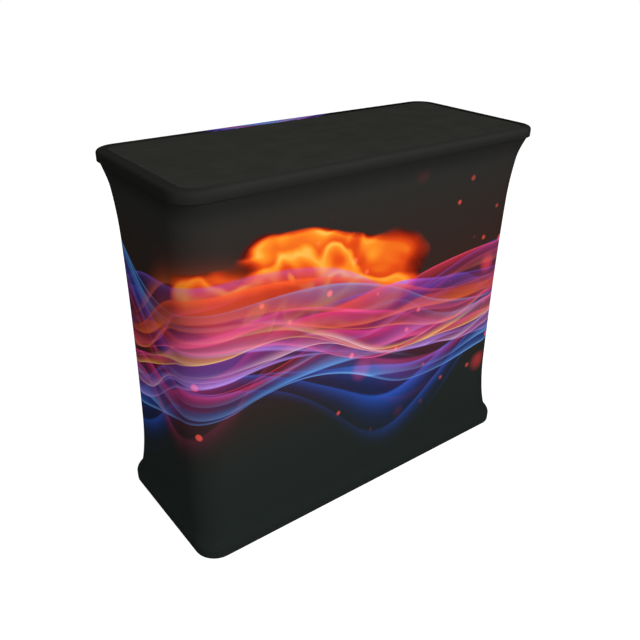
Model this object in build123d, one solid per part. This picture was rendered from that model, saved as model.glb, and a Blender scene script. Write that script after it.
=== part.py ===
from build123d import *
import os

os.makedirs("parts", exist_ok=True)

# Millimetres. X runs along the counter, -Y is the printed front, Z is up from the floor.
# Everything is drawn opened out, ready to use. One overrun serves all cuts.
overrun = 2.0

# The whole counter, measured over its fabric cover
width = 1070.0
depth = 450.0
height = 950.0

# Fabric cover: a sewn cap on the worktop, a sleeve that narrows to a waist, and a base band
cloth_thick = 1.0
cloth_gap = 0.3
waist_inset = 19.0
waist_corner = 96.0
corner_radius = 58.0
rim_height = 25.0
rim_rounding = 8.0
band_top = 24.0
hem_clear = 2.5
hem_bend = 3.0
hem_return = 40.0

# The sleeve's side view as tangent arcs, down and up from its waist: where each arc ends, in
# shares of the waist inset and of the sleeve's height. The plan's corners grow rounder by the
# same shares, from the boards' corner radius to the waist's.
waist_share = (1.0, 0.52)
down_shares = [(0.93, 0.225), (0.7, 0.097), (0.44, 0.038), (0.17, 0.0175), (0.0, 0.0)]
up_shares = [(0.925, 0.8), (0.66, 0.933), (0.3, 0.982), (0.0, 1.0)]
plans_per_arc = 3

# Opening in the rear of the sleeve, with its sewn edge tape
opening_width = 620.0
opening_sill = 150.0
opening_top_gap = 165.0
opening_corner = 85.0
opening_bow = 12.0
binding_width = 7.0
binding_cover = 1.0

# Boards under the cover
board_thick = 22.0
board_edge = 2.0
grip_thick = 1.5
grip_width = 22.0
grip_inset = 10.0
grip_end_gap = 6.0

# Feet and their screws
foot_radius = 15.0
foot_height = 5.0
foot_edge = 1.0
foot_inset = 72.0
foot_recess_radius = 6.0
foot_recess = 2.5
foot_screw_radius = 2.0
foot_screw_head = 4.2
foot_screw_head_height = 1.7
foot_screw_bite = 14.0
thread_clear = 0.05

# Legs: square tubes with moulded fittings, hinged at both ends and at the knee
tube_side = 25.0
tube_wall = 2.0
tube_corner = 2.5
leg_spacing = 220.0
knee_out = 1.0
knee_to_cover = 25.0
fitting_clear = 0.2
end_head = 18.0
knee_head = 30.0
plug_depth = 22.0

# Pivot pins
pin_radius = 4.0
pin_running = 0.05
open_pivot_clear = 0.3
pin_head_radius = 6.5
pin_head_height = 2.5
pin_head_gap = 0.2

# Knee: a fork below, a tongue above and a spring in a cup on the inner side
knee_eye_radius = 9.0
knee_eye_clear = 0.3
tongue_thick = 8.0
tongue_clear = 0.2
cup_radius = 15.0
cup_wall = 1.8
cup_floor = 1.5
cup_floor_gap = 0.3
spring_width = 6.0
spring_thick = 0.9
spring_inner_radius = 5.2
spring_half_turns = 8
spring_clear = 0.4
cap_thick = 1.5
cap_clear = 0.1

# Brackets that hold the legs to the boards
bracket_plate = 3.0
bracket_length = 40.0
bracket_half_width = 32.0
bracket_corner = 4.0
ear_thick = 3.0
ear_gap = 0.5
ear_tip_radius = 10.0
ear_foot_width = 30.0
pivot_to_plate = 13.5
bracket_hole_in = 8.0
bracket_hole_end = 9.0
board_screw_radius = 2.5
board_screw_head = 4.5
board_screw_head_height = 2.4
board_screw_bite = 15.0
board_screw_clear = 0.2

# Cross-bars that join the front and rear legs beside each knee
bar_radius = 8.0
bar_bore_depth = 22.0
bar_screw_radius = 3.0
bar_screw_head = 5.5
bar_screw_head_height = 3.3
bar_screw_bite = 18.0
bar_screw_clear = 0.2

# Places worked out from the sizes above
board_inset = cloth_thick + cloth_gap
base_board_top = foot_height + board_thick
worktop_top = height - board_inset
worktop_low = worktop_top - board_thick
rim_low = height - rim_height
sleeve_height = rim_low - band_top
opening_height = rim_low - opening_top_gap - opening_sill
pivot_rise = bracket_plate + pivot_to_plate
foot_pivot_z = base_board_top + pivot_rise
knee_z = (base_board_top + worktop_low) / 2
knee_out_of_leg = tube_side / 2 + knee_out
knee_x = width / 2 - waist_inset - cloth_thick - knee_to_cover - cup_radius
leg_x = knee_x - knee_out_of_leg
leg_y = leg_spacing / 2
plug_side = tube_side - 2 * tube_wall - 2 * fitting_clear
cup_floor_in = tube_side / 2 + cup_floor_gap
spring_in = cup_floor_in + cup_floor + spring_clear
cap_in = spring_in + spring_width + spring_clear
cup_mouth_in = cap_in + cap_thick
bar_from_knee = knee_head + plug_depth + bar_radius
spring_room = cup_radius - cup_wall - spring_clear - spring_thick / 2 - spring_inner_radius
spring_step = spring_room / (spring_half_turns - 1 / 2)
ear_in = tube_side / 2 + ear_gap
ear_out = ear_in + ear_thick
upside = Plane(origin=(0, 0, knee_z), z_dir=(0, 0, 1))
upright = (Align.CENTER, Align.CENTER, Align.MIN)


def save(name, *solids):
    shape = solids[0] if len(solids) == 1 else Compound(children=list(solids))
    export_step(shape, f"parts/{name}.step")


def at_corner(shape, side, end):
    """A piece drawn at the right rear leg, mirrored to the left or to the front."""
    if side < 0:
        shape = mirror(shape, about=Plane.YZ)
    if end < 0:
        shape = mirror(shape, about=Plane.XZ)
    return shape


def turned_over(shape):
    """A piece of the lower half, mirrored at knee height to the upper half."""
    return mirror(shape, about=upside)


def slab(inset, low, high):
    """A plate with the counter's plan, drawn in from its edge by inset."""
    plan = RectangleRounded(width - 2 * inset, depth - 2 * inset, corner_radius - inset)
    return Pos(0, 0, low) * extrude(plan, high - low)


def rounded_rim(shape, radius, top):
    """The slab with its upper or its lower outline rounded."""
    face = shape.faces().sort_by(Axis.Z)[-1 if top else 0]
    return fillet(face.edges(), radius)


def along_y(radius, low, high, x, z):
    """A round bar or bore along Y, from low to high."""
    return Pos(x, (low + high) / 2, z) * Rot(X=90) * Cylinder(radius, high - low)


def along_z(radius, low, high, x, y):
    """A round bar or bore along Z, from low to high."""
    return Pos(x, y, low) * Cylinder(radius, high - low, align=upright)


def block(side, low, high):
    """A square block on the leg's centre line."""
    return Pos(leg_x, leg_y, low) * Box(side, side, high - low, align=upright)


# Boards
def foot_places():
    x = width / 2 - foot_inset
    y = depth / 2 - foot_inset
    return [(i * x, j * y) for i in (-1, 0, 1) for j in (-1, 1)]


def bracket_holes():
    """Screw places of the bracket at the right rear leg."""
    dx = bracket_length / 2 - bracket_hole_end
    dy = bracket_half_width - bracket_hole_in
    return [(leg_x + i * dx, leg_y + j * dy) for i in (-1, 1) for j in (-1, 1)]


def bracket_pilots():
    """Pilot holes for all the brackets of the base board."""
    radius = board_screw_radius + thread_clear
    low = base_board_top + bracket_plate - board_screw_bite
    high = base_board_top + overrun
    one = Compound(children=[along_z(radius, low, high, x, y) for x, y in bracket_holes()])
    return [at_corner(one, side, end) for side in (-1, 1) for end in (-1, 1)]


def base_board():
    board = slab(board_inset, foot_height, base_board_top)
    board = rounded_rim(board, rim_rounding - board_inset, True)
    board = rounded_rim(board, board_edge, False)
    pilot = foot_screw_radius + thread_clear
    tip = foot_height + foot_screw_bite + thread_clear
    for x, y in foot_places():
        board -= along_z(pilot, foot_height - overrun, tip, x, y)
    for pilots in bracket_pilots():
        board -= pilots
    return board


def worktop_board():
    board = slab(board_inset, worktop_low, worktop_top)
    board = rounded_rim(board, rim_rounding - board_inset, True)
    board = rounded_rim(board, board_edge, False)
    for pilots in bracket_pilots():
        board -= turned_over(pilots)
    return board


def foot(x, y):
    pad = Pos(x, y, 0) * Cylinder(foot_radius, foot_height, align=upright)
    pad = fillet(pad.edges().sort_by(Axis.Z)[0], foot_edge)
    pad -= along_z(foot_recess_radius, -overrun, foot_recess, x, y)
    return pad - along_z(foot_screw_radius + thread_clear, 0, foot_height + overrun, x, y)


def foot_screw(x, y):
    head_low = foot_recess - foot_screw_head_height
    shank = along_z(foot_screw_radius, head_low, foot_height + foot_screw_bite, x, y)
    return shank + along_z(foot_screw_head, head_low, foot_recess, x, y)


def grip_strips():
    """Strips of hook tape under the base board's edge, which hold the cover's hem."""
    inset = board_inset + grip_inset
    straight_x = width - 2 * corner_radius
    straight_y = depth - 2 * corner_radius - 2 * grip_end_gap
    along = Box(straight_x, grip_width, grip_thick, align=upright)
    across = Box(grip_width, straight_y, grip_thick, align=upright)
    y = depth / 2 - inset - grip_width / 2
    x = width / 2 - inset - grip_width / 2
    low = foot_height - grip_thick
    return [
        Pos(0, y, low) * along,
        Pos(0, -y, low) * along,
        Pos(x, 0, low) * across,
        Pos(-x, 0, low) * across,
    ]


# Fabric cover
def cover_top():
    """Cap of the cover: the worktop's cloth and the band round the rim."""
    cap = rounded_rim(slab(0, rim_low, height), rim_rounding, True)
    space = slab(cloth_thick, rim_low - overrun, height - cloth_thick)
    return cap - rounded_rim(space, rim_rounding - cloth_thick, True)


def cover_base_band():
    """Foot of the cover: the band round the base board and its hem turned in below."""
    band = rounded_rim(slab(0, hem_clear, band_top), hem_bend, False)
    space = slab(cloth_thick, hem_clear + cloth_thick, band_top + overrun)
    band -= rounded_rim(space, hem_bend - cloth_thick, False)
    return band - slab(hem_return, hem_clear - overrun, band_top)


def sleeve_line(offset):
    """Side view of the cloth, out from a plan corner's centre, as one chain of tangent arcs."""

    def place(share):
        out = corner_radius - share[0] * waist_inset + offset
        return Vector(out, 0, band_top + share[1] * sleeve_height)

    def chain(shares, way):
        arcs = []
        start = place(waist_share)
        for share in shares:
            arcs.append(TangentArc(start, place(share), tangent=way))
            start, way = arcs[-1] @ 1, arcs[-1] % 1
        return arcs

    return chain(down_shares, (0, 0, -1)), chain(up_shares, (0, 0, 1))


def sleeve_section(outside, inside):
    """Section of the cloth wall between two offsets from its outer face."""
    outer_down, outer_up = sleeve_line(outside)
    inner_down, inner_up = sleeve_line(-inside)
    foot = Line(outer_down[-1] @ 1, inner_down[-1] @ 1)
    rim = Line(outer_up[-1] @ 1, inner_up[-1] @ 1)
    return make_face([*outer_down, *outer_up, foot, rim, *inner_down, *inner_up])


def opening_prism(narrowed):
    """The rear opening's outline with bowed edges, cut through the rear wall."""
    x = opening_width / 2 - narrowed
    low = opening_sill + narrowed
    high = opening_sill + opening_height - narrowed
    middle = (low + high) / 2
    corners = [(-x, 0, low), (x, 0, low), (x, 0, high), (-x, 0, high)]
    bulges = [
        (0, 0, low - opening_bow),
        (x + opening_bow, 0, middle),
        (0, 0, high + opening_bow),
        (-x - opening_bow, 0, middle),
    ]
    edges = [
        ThreePointArc(corners[i], bulges[i], corners[(i + 1) % 4]) for i in range(4)
    ]
    outline = make_face(edges)
    outline = fillet(outline.vertices(), opening_corner - narrowed)
    return extrude(outline, depth / 2 + overrun, dir=(0, 1, 0))


def sleeve_plan(mark, inward):
    """The cloth's plan at a point of its side view, moved in by a distance."""
    share = (corner_radius - mark.X) / waist_inset
    inset = share * waist_inset + inward
    radius = corner_radius + share * (waist_corner - corner_radius) - inward
    plan = RectangleRounded(width - 2 * inset, depth - 2 * inset, radius)
    return Pos(0, 0, mark.Z) * plan


def sleeve_core(inward):
    """All that the sleeve encloses, from its foot to the rim, moved in by a distance."""
    down, up = sleeve_line(0)
    steps = [i / plans_per_arc for i in range(1, plans_per_arc + 1)]
    marks = [down[0] @ 0] + [arc @ step for arc in [*down, *up] for step in steps]
    marks.sort(key=lambda mark: mark.Z)
    return loft([sleeve_plan(mark, inward) for mark in marks])


def cover_sleeve():
    """Printed stretch sleeve: the cloth between two such solids, open at the rear."""
    return sleeve_core(0) - sleeve_core(cloth_thick) - opening_prism(0)


def opening_binding():
    """Folded tape sewn round the edge of the rear opening."""
    section = sleeve_section(binding_cover, cloth_thick + binding_cover)
    reach = opening_width + 2 * opening_bow + 2 * overrun
    wall = Rot(Z=90) * extrude(section, reach, dir=(0, 1, 0))
    wall = Pos(reach / 2, depth / 2 - corner_radius, 0) * wall
    return wall & (opening_prism(0) - opening_prism(binding_width))


# Leg brackets
def base_bracket():
    """Steel plate with two bent-up ears that carry the leg's pivot pin."""
    plate = RectangleRounded(bracket_length, 2 * bracket_half_width, bracket_corner)
    bracket = Pos(leg_x, leg_y, base_board_top) * extrude(plate, bracket_plate)
    ear_low = base_board_top + bracket_plate
    foot_half = ear_foot_width / 2
    tip = [(-ear_tip_radius, pivot_to_plate), (0, pivot_to_plate + ear_tip_radius)]
    tip.append((ear_tip_radius, pivot_to_plate))
    outline = make_face(
        [
            Line((-foot_half, 0), tip[0]),
            ThreePointArc(*tip),
            Line(tip[2], (foot_half, 0)),
            Line((foot_half, 0), (-foot_half, 0)),
        ]
    )
    ear = extrude(Rot(X=90) * outline, ear_thick, dir=(0, 1, 0))
    for y in (leg_y - ear_out, leg_y + ear_in):
        bracket += Pos(leg_x, y, ear_low) * ear
    bore = pin_radius + pin_running
    low, high = leg_y - ear_out - overrun, leg_y + ear_out + overrun
    bracket -= along_y(bore, low, high, leg_x, foot_pivot_z)
    hole = board_screw_radius + board_screw_clear
    for x, y in bracket_holes():
        bracket -= along_z(hole, base_board_top - overrun, ear_low + overrun, x, y)
    return bracket


def bracket_screws():
    seat = base_board_top + bracket_plate
    tip = seat - board_screw_bite + thread_clear
    screws = []
    for x, y in bracket_holes():
        shank = along_z(board_screw_radius, tip, seat, x, y)
        head = along_z(board_screw_head, seat, seat + board_screw_head_height, x, y)
        head = fillet(head.edges().sort_by(Axis.Z)[-1], board_screw_head_height / 2)
        screws.append(shank + head)
    return screws


def headed_pin(low, high, x, z):
    """Riveted pin along Y with a flat head at each end, clear of what it clamps."""
    pin = along_y(pin_radius, low - pin_head_gap, high + pin_head_gap, x, z)
    first = low - pin_head_gap
    last = high + pin_head_gap
    pin += along_y(pin_head_radius, first - pin_head_height, first, x, z)
    return pin + along_y(pin_head_radius, last, last + pin_head_height, x, z)


def foot_pin():
    return headed_pin(leg_y - ear_out, leg_y + ear_out, leg_x, foot_pivot_z)


# Legs
def end_fitting(clear):
    """Moulded eye that plugs into the leg tube and turns on the bracket's pin."""
    low, high = leg_y - tube_side / 2, leg_y + tube_side / 2
    head_top = foot_pivot_z + end_head
    head = block(tube_side, foot_pivot_z, head_top)
    head += along_y(tube_side / 2, low, high, leg_x, foot_pivot_z)
    head += block(plug_side, head_top, head_top + plug_depth)
    bore = pin_radius + clear
    return head - along_y(bore, low - overrun, high + overrun, leg_x, foot_pivot_z)


def leg_tube():
    low = foot_pivot_z + end_head
    high = knee_z - knee_head
    outside = RectangleRounded(tube_side, tube_side, tube_corner)
    bore_side = tube_side - 2 * tube_wall
    inside = Rectangle(bore_side, bore_side)
    tube = Pos(leg_x, leg_y, low) * extrude(outside - inside, high - low)
    hole = bar_screw_radius + bar_screw_clear
    first = leg_y - tube_side / 2 - overrun
    last = leg_y + tube_side / 2 + overrun
    return tube - along_y(hole, first, last, leg_x, knee_z - bar_from_knee)


def knee_plug():
    """Square head between the tube and the knee, with its plug in the tube."""
    head_low = knee_z - knee_head
    head = block(tube_side, head_low, knee_z)
    return head + block(plug_side, head_low - plug_depth, head_low)


def knee_eye(radius, low, high):
    """Round bar on the knee's axis, from low to high off the leg's centre line."""
    return along_y(radius, leg_y + low, leg_y + high, knee_x, knee_z)


def knee_fork():
    """Lower knee fitting: two eyes beside the tongue, and the cup that holds the spring."""
    half = tube_side / 2
    slot = tongue_thick / 2 + tongue_clear
    fork = knee_plug() + knee_eye(knee_eye_radius, -cup_floor_in, half)
    fork -= knee_eye(knee_eye_radius + knee_eye_clear, -slot, slot)
    cup = knee_eye(cup_radius, -cup_mouth_in, -cup_floor_in)
    cup -= knee_eye(cup_radius - cup_wall, -cup_mouth_in - overrun, -cup_floor_in - cup_floor)
    fork += cup
    bore = pin_radius + pin_running
    return fork - knee_eye(bore, -cup_mouth_in, half + overrun)


def knee_tongue():
    """Upper knee fitting: one eye in the middle, with room for the fork's two eyes."""
    half = tube_side / 2
    web = tongue_thick / 2
    room = knee_eye_radius + knee_eye_clear
    whole = turned_over(knee_plug())
    tongue = whole - knee_eye(room, -half - overrun, half + overrun)
    tongue += whole & knee_eye(room, -web, web)
    tongue += knee_eye(knee_eye_radius, -web, web)
    return tongue - knee_eye(pin_radius + pin_running, -half, half)


def knee_pin():
    return headed_pin(leg_y - cup_mouth_in, leg_y + tube_side / 2, knee_x, knee_z)


def knee_spring():
    """Flat spring wound in half circles round the pin, its outer turn beside the cup's wall."""
    arcs = []
    start = Vector(-spring_inner_radius, 0, 0)
    for i in range(spring_half_turns):
        way = 1 if i % 2 == 0 else -1
        radius = (spring_inner_radius + i * spring_step) * way
        bulge = start + Vector(radius, 0, radius)
        end = start + Vector(2 * radius, 0, 0)
        arcs.append(ThreePointArc(start, bulge, end))
        start = end
    section = Rectangle(spring_thick, spring_width)
    spring = sweep(Pos(-spring_inner_radius, 0, 0) * section, path=Wire(arcs))
    y = leg_y - spring_in - spring_width / 2
    return Pos(knee_x + spring_step / 2, y, knee_z) * spring


def spring_cap():
    """Lid of the spring cup, held by the pin's inner head."""
    cap = knee_eye(cup_radius - cup_wall - cap_clear, -cup_mouth_in, -cap_in)
    return cap - knee_eye(pin_radius + pin_head_gap, -cup_mouth_in - overrun, -cap_in + overrun)


# Cross-bars
def cross_bar():
    inner = leg_y - tube_side / 2
    z = knee_z - bar_from_knee
    bar = along_y(bar_radius, -inner, inner, leg_x, z)
    bore = bar_screw_radius + thread_clear
    bar -= along_y(bore, inner - bar_bore_depth, inner + overrun, leg_x, z)
    return bar - along_y(bore, -inner - overrun, -inner + bar_bore_depth, leg_x, z)


def bar_screw():
    outer = leg_y + tube_side / 2
    z = knee_z - bar_from_knee
    tip = leg_y - tube_side / 2 - bar_screw_bite
    screw = along_y(bar_screw_radius, tip, outer, leg_x, z)
    head = along_y(bar_screw_head, outer, outer + bar_screw_head_height, leg_x, z)
    head = fillet(head.edges().sort_by(Axis.Y)[-1], bar_screw_head_height / 2)
    return screw + head


# Write each piece, or each set of like fasteners, as its own node
sides = {"left": -1, "right": 1}
ends = {"front": -1, "rear": 1}
four_corners = [(side, end) for side in (-1, 1) for end in (-1, 1)]

save("base_board", base_board())
save("feet", *[foot(x, y) for x, y in foot_places()])
save("foot_screws", *[foot_screw(x, y) for x, y in foot_places()])
save("hem_grip_strips", *grip_strips())
save("worktop_board", worktop_board())
save("cover_top", cover_top())
save("cover_sleeve", cover_sleeve())
save("cover_base_band", cover_base_band())
save("opening_binding", opening_binding())

bracket = base_bracket()
screws = bracket_screws()
low_screws = [at_corner(screw, *place) for place in four_corners for screw in screws]
low_pins = [at_corner(foot_pin(), *place) for place in four_corners]
save("base_bracket_screws", *low_screws)
save("top_bracket_screws", *[turned_over(screw) for screw in low_screws])
save("base_pivot_pins", *low_pins)
save("top_pivot_pins", *[turned_over(pin) for pin in low_pins])

for side_name, side in sides.items():
    for end_name, end in ends.items():
        place = f"{side_name}_{end_name}"
        save(f"base_bracket_{place}", at_corner(bracket, side, end))
        save(f"top_bracket_{place}", at_corner(turned_over(bracket), side, end))
        save(f"lower_leg_tube_{place}", at_corner(leg_tube(), side, end))
        save(f"upper_leg_tube_{place}", at_corner(turned_over(leg_tube()), side, end))
        low_eye = end_fitting(pin_running)
        high_eye = end_fitting(pin_running if side < 0 else open_pivot_clear)
        save(f"lower_end_fitting_{place}", at_corner(low_eye, side, end))
        save(f"upper_end_fitting_{place}", at_corner(turned_over(high_eye), side, end))
        save(f"knee_fork_{place}", at_corner(knee_fork(), side, end))
        save(f"knee_tongue_{place}", at_corner(knee_tongue(), side, end))
    both = [(side, end) for end in ends.values()]
    bar = at_corner(cross_bar(), side, 1)
    bar_screws = [at_corner(bar_screw(), *place) for place in both]
    save(f"knee_springs_{side_name}", *[at_corner(knee_spring(), *place) for place in both])
    save(f"spring_caps_{side_name}", *[at_corner(spring_cap(), *place) for place in both])
    save(f"knee_pins_{side_name}", *[at_corner(knee_pin(), *place) for place in both])
    save(f"lower_cross_bar_{side_name}", bar)
    save(f"upper_cross_bar_{side_name}", turned_over(bar))
    save(f"lower_bar_screws_{side_name}", *bar_screws)
    save(f"upper_bar_screws_{side_name}", *[turned_over(screw) for screw in bar_screws])
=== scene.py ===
from math import atan2, copysign, cos, exp, pi, sin

import bmesh
import bpy
import numpy as np
from mathutils import Matrix, Vector


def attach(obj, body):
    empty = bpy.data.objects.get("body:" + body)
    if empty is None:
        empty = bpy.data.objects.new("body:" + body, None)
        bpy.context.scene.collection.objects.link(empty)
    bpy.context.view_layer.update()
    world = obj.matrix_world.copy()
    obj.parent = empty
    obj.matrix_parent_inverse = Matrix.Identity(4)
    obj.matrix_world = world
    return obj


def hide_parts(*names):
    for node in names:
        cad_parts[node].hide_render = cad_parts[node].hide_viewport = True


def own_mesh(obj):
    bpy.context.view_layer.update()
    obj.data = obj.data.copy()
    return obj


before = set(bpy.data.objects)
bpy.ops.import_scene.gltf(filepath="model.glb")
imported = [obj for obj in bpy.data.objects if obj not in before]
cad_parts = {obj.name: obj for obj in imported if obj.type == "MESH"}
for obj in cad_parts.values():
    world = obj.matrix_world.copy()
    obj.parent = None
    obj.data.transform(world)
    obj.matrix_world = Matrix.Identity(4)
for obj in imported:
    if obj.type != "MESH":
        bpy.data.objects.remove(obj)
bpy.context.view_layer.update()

# Camera: stands before the counter's left front corner and looks down on the worktop, as the
# photograph does. The lens and the small roll come from the outline and the worktop's corner.
camera = bpy.data.objects.new("camera", bpy.data.cameras.new("camera"))
bpy.context.collection.objects.link(camera)
bpy.context.scene.camera = camera
camera.data.lens = 39.74
camera.data.sensor_width = 36.0
camera_turn, camera_height, camera_roll = -0.6583, 0.4834, 0.0178
camera_reach = Vector((-0.0187, -0.0387, 1.9754))
counter_middle = Vector((0.0, 0.0, 0.475))
camera.matrix_world = (
    Matrix.Translation(counter_middle)
    @ Matrix.Rotation(camera_turn, 4, "Z")
    @ Matrix.Rotation(pi / 2 - camera_height, 4, "X")
    @ Matrix.Translation(camera_reach)
    @ Matrix.Rotation(camera_roll, 4, "Z")
)
bpy.context.scene.view_settings.view_transform = "Standard"


# Floor: a wide pale sheet under the counter. It shows white to the camera and in reflections,
# and keeps the counter's own soft shadow.
def feed(tree, socket, value):
    """Links a node's output to a socket, or sets the socket's own value."""
    if isinstance(value, bpy.types.NodeSocket):
        tree.links.new(value, socket)
    else:
        socket.default_value = value


def node(tree, kind, sockets=None, **settings):
    """A shader node with its settings made and its sockets fed."""
    made = tree.nodes.new("ShaderNode" + kind)
    for name, value in settings.items():
        setattr(made, name, value)
    for name, value in (sockets or {}).items():
        feed(tree, made.inputs[name], value)
    return made


def maths(tree, operation, *values, clamp=False):
    """One sum in a node tree."""
    made = node(tree, "Math", operation=operation, use_clamp=clamp)
    for socket, value in zip(made.inputs, values):
        feed(tree, socket, value)
    return made.outputs[0]


def seen_directly(tree):
    """1 for rays from the camera and for those that a gloss or a glass sends on."""
    path = node(tree, "LightPath").outputs
    seen = maths(tree, "MAXIMUM", path["Is Camera Ray"], path["Is Glossy Ray"])
    return maths(tree, "MAXIMUM", seen, path["Is Transmission Ray"])


def mixed(tree, share, first, second):
    """Two shaders laid together by a share."""
    made = node(tree, "MixShader", {"Fac": share})
    feed(tree, made.inputs[1], first.outputs[0])
    feed(tree, made.inputs[2], second.outputs[0])
    return made


def placed(name, mesh):
    """Puts a finished mesh into the scene as a piece."""
    piece = bpy.data.objects.new(name, mesh)
    bpy.context.collection.objects.link(piece)
    return piece


def made_mesh(name, work):
    """Turns a bmesh into a mesh."""
    mesh = bpy.data.meshes.new(name)
    work.to_mesh(mesh)
    work.free()
    return mesh


floor_span = 12.0
floor_work = bmesh.new()
bmesh.ops.create_grid(floor_work, x_segments=1, y_segments=1, size=floor_span / 2)
floor = placed("floor", made_mesh("floor", floor_work))

floor_white = bpy.data.materials.new("floor_white")
floor_white.use_nodes = True
floor_tree = floor_white.node_tree
floor_tree.nodes.clear()
floor_lit = node(floor_tree, "BsdfDiffuse", {"Color": (0.82, 0.82, 0.82, 1)})
floor_shade = node(floor_tree, "BsdfDiffuse", {"Color": (0.30, 0.30, 0.30, 1)})
floor_glow = node(floor_tree, "Emission", {"Color": (1, 1, 1, 1), "Strength": 0.93})
floor_shown = node(floor_tree, "AddShader")
feed(floor_tree, floor_shown.inputs[0], floor_shade.outputs[0])
feed(floor_tree, floor_shown.inputs[1], floor_glow.outputs[0])
floor_top = mixed(floor_tree, seen_directly(floor_tree), floor_lit, floor_shown)
floor_clear = node(floor_tree, "BsdfTransparent")
floor_behind = node(floor_tree, "NewGeometry").outputs["Backfacing"]
floor_side = mixed(floor_tree, floor_behind, floor_top, floor_clear)
node(floor_tree, "OutputMaterial", {"Surface": floor_side.outputs[0]})
floor.data.materials.append(floor_white)

# Light: an even pale surround and one large soft lamp high before the printed front, with a
# weaker one behind, so that the front is brightest and both ends lie in soft shade.
studio = bpy.data.worlds.new("studio")
bpy.context.scene.world = studio
studio.use_nodes = True
studio_tree = studio.node_tree
studio_tree.nodes.clear()
studio_light = node(studio_tree, "Background", {"Color": (1, 1, 1, 1), "Strength": 0.27})
studio_white = node(studio_tree, "Background", {"Color": (1, 1, 1, 1), "Strength": 1.0})
studio_shown = mixed(studio_tree, seen_directly(studio_tree), studio_light, studio_white)
node(studio_tree, "OutputWorld", {"Surface": studio_shown.outputs[0]})

lamp_target = Vector((0.0, 0.0, 0.5))
for lamp_name, lamp_place, lamp_size, lamp_power in (
    ("key_lamp", (-0.55, -3.3, 3.0), 2.2, 150.0),
    ("rear_lamp", (0.6, 2.8, 2.4), 2.0, 40.0),
):
    lamp = bpy.data.objects.new(lamp_name, bpy.data.lights.new(lamp_name, "AREA"))
    bpy.context.collection.objects.link(lamp)
    lamp.data.shape = "DISK"
    lamp.data.size = lamp_size
    lamp.data.energy = lamp_power
    lamp.location = lamp_place
    aim = lamp_target - lamp.location
    lamp.rotation_euler = aim.to_track_quat("-Z", "Y").to_euler()


# Base and worktop boards: 22 mm fibreboard faced with black laminate, with a hard edge band.
# They are cut with rounded corners and drilled for the leg brackets; the base stands on feet.
def finish(name, colour, roughness, metallic=0.0, **sockets):
    """A new material: its node tree, its shader and its Object coordinates."""
    material = bpy.data.materials.new(name)
    material.use_nodes = True
    tree = material.node_tree
    shader = tree.nodes["Principled BSDF"]
    shader.inputs["Base Color"].default_value = (*colour, 1)
    shader.inputs["Roughness"].default_value = roughness
    shader.inputs["Metallic"].default_value = metallic
    for socket, value in sockets.items():
        shader.inputs[socket.replace("_", " ")].default_value = value
    place = node(tree, "TexCoord").outputs["Object"]
    return material, tree, shader, place


def spread(tree, place, scale):
    """A pattern's place, stretched by a different scale along each axis."""
    return node(tree, "Mapping", {"Vector": place, "Scale": scale}).outputs[0]


def noise(tree, place, scale, detail=2.0, rough=0.5, twist=0.0):
    """Cloudy noise from 0 to 1 at a place."""
    sockets = {"Vector": place, "Scale": scale, "Detail": detail}
    sockets.update({"Roughness": rough, "Distortion": twist})
    return node(tree, "TexNoise", sockets).outputs["Fac"]


def between(tree, value, low, high, start=0.0, end=1.0, smooth=False):
    """A value carried from one range to another and held at its ends."""
    kind = "SMOOTHSTEP" if smooth else "LINEAR"
    sockets = {"Value": value, "From Min": low, "From Max": high}
    sockets.update({"To Min": start, "To Max": end})
    return node(tree, "MapRange", sockets, interpolation_type=kind).outputs[0]


def tint(tree, share, first, second, mode="MIX"):
    """Two colours laid together by a share."""
    made = node(tree, "Mix", data_type="RGBA", blend_type=mode)
    feed(tree, made.inputs[0], share)
    for socket, colour in zip(made.inputs[6:8], (first, second)):
        plain = isinstance(colour, tuple) and len(colour) == 3
        feed(tree, socket, (*colour, 1) if plain else colour)
    return made.outputs[2]


def mottled(tree, shader, share, first, second):
    """Colours a surface from one tone to another by a share."""
    feed(tree, shader.inputs["Base Color"], tint(tree, share, first, second))


def dulled(tree, shader, share, low, high, glossy, matt):
    """Makes a surface rougher as a share grows from low to high."""
    feed(tree, shader.inputs["Roughness"], between(tree, share, low, high, glossy, matt))


def raised(tree, shader, height, depth):
    """Relief on a surface, from a height of 0 to 1 and its depth in metres."""
    bump = node(tree, "Bump", {"Height": height, "Distance": depth, "Strength": 1.0})
    feed(tree, shader.inputs["Normal"], bump.outputs[0])


def dress(material, *names):
    """Gives a material to the frame's own parts, by the start of their names."""
    for part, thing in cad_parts.items():
        if part.startswith(names):
            for place in thing.material_slots:
                place.material = material


laminate, tree, shader, place = finish(
    "black_laminate", (0.030, 0.030, 0.029), 0.42, Specular_IOR_Level=0.10)
laminate_grain = noise(tree, place, 900.0, 3.0)
laminate_scuffs = noise(tree, spread(tree, place, (14.0, 60.0, 14.0)), 6.0, 5.0, 0.65)
laminate_wear = between(tree, laminate_scuffs, 0.58, 0.72)
dulled(tree, shader, laminate_wear, 0.0, 1.0, 0.40, 0.58)
laminate_side = node(tree, "NewGeometry").outputs["Normal"]
laminate_up = node(tree, "SeparateXYZ", {"Vector": laminate_side}).outputs["Z"]
laminate_edge = between(tree, maths(tree, "ABSOLUTE", laminate_up), 0.3, 0.8)
laminate_face = tint(tree, laminate_wear, (0.028, 0.028, 0.027), (0.048, 0.047, 0.045))
laminate_band = tint(tree, laminate_grain, (0.018, 0.017, 0.016), (0.034, 0.032, 0.030))
mottled(tree, shader, laminate_edge, laminate_band, laminate_face)
raised(tree, shader, laminate_grain, 0.00006)
dress(laminate, "base_board", "worktop_board")

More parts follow.
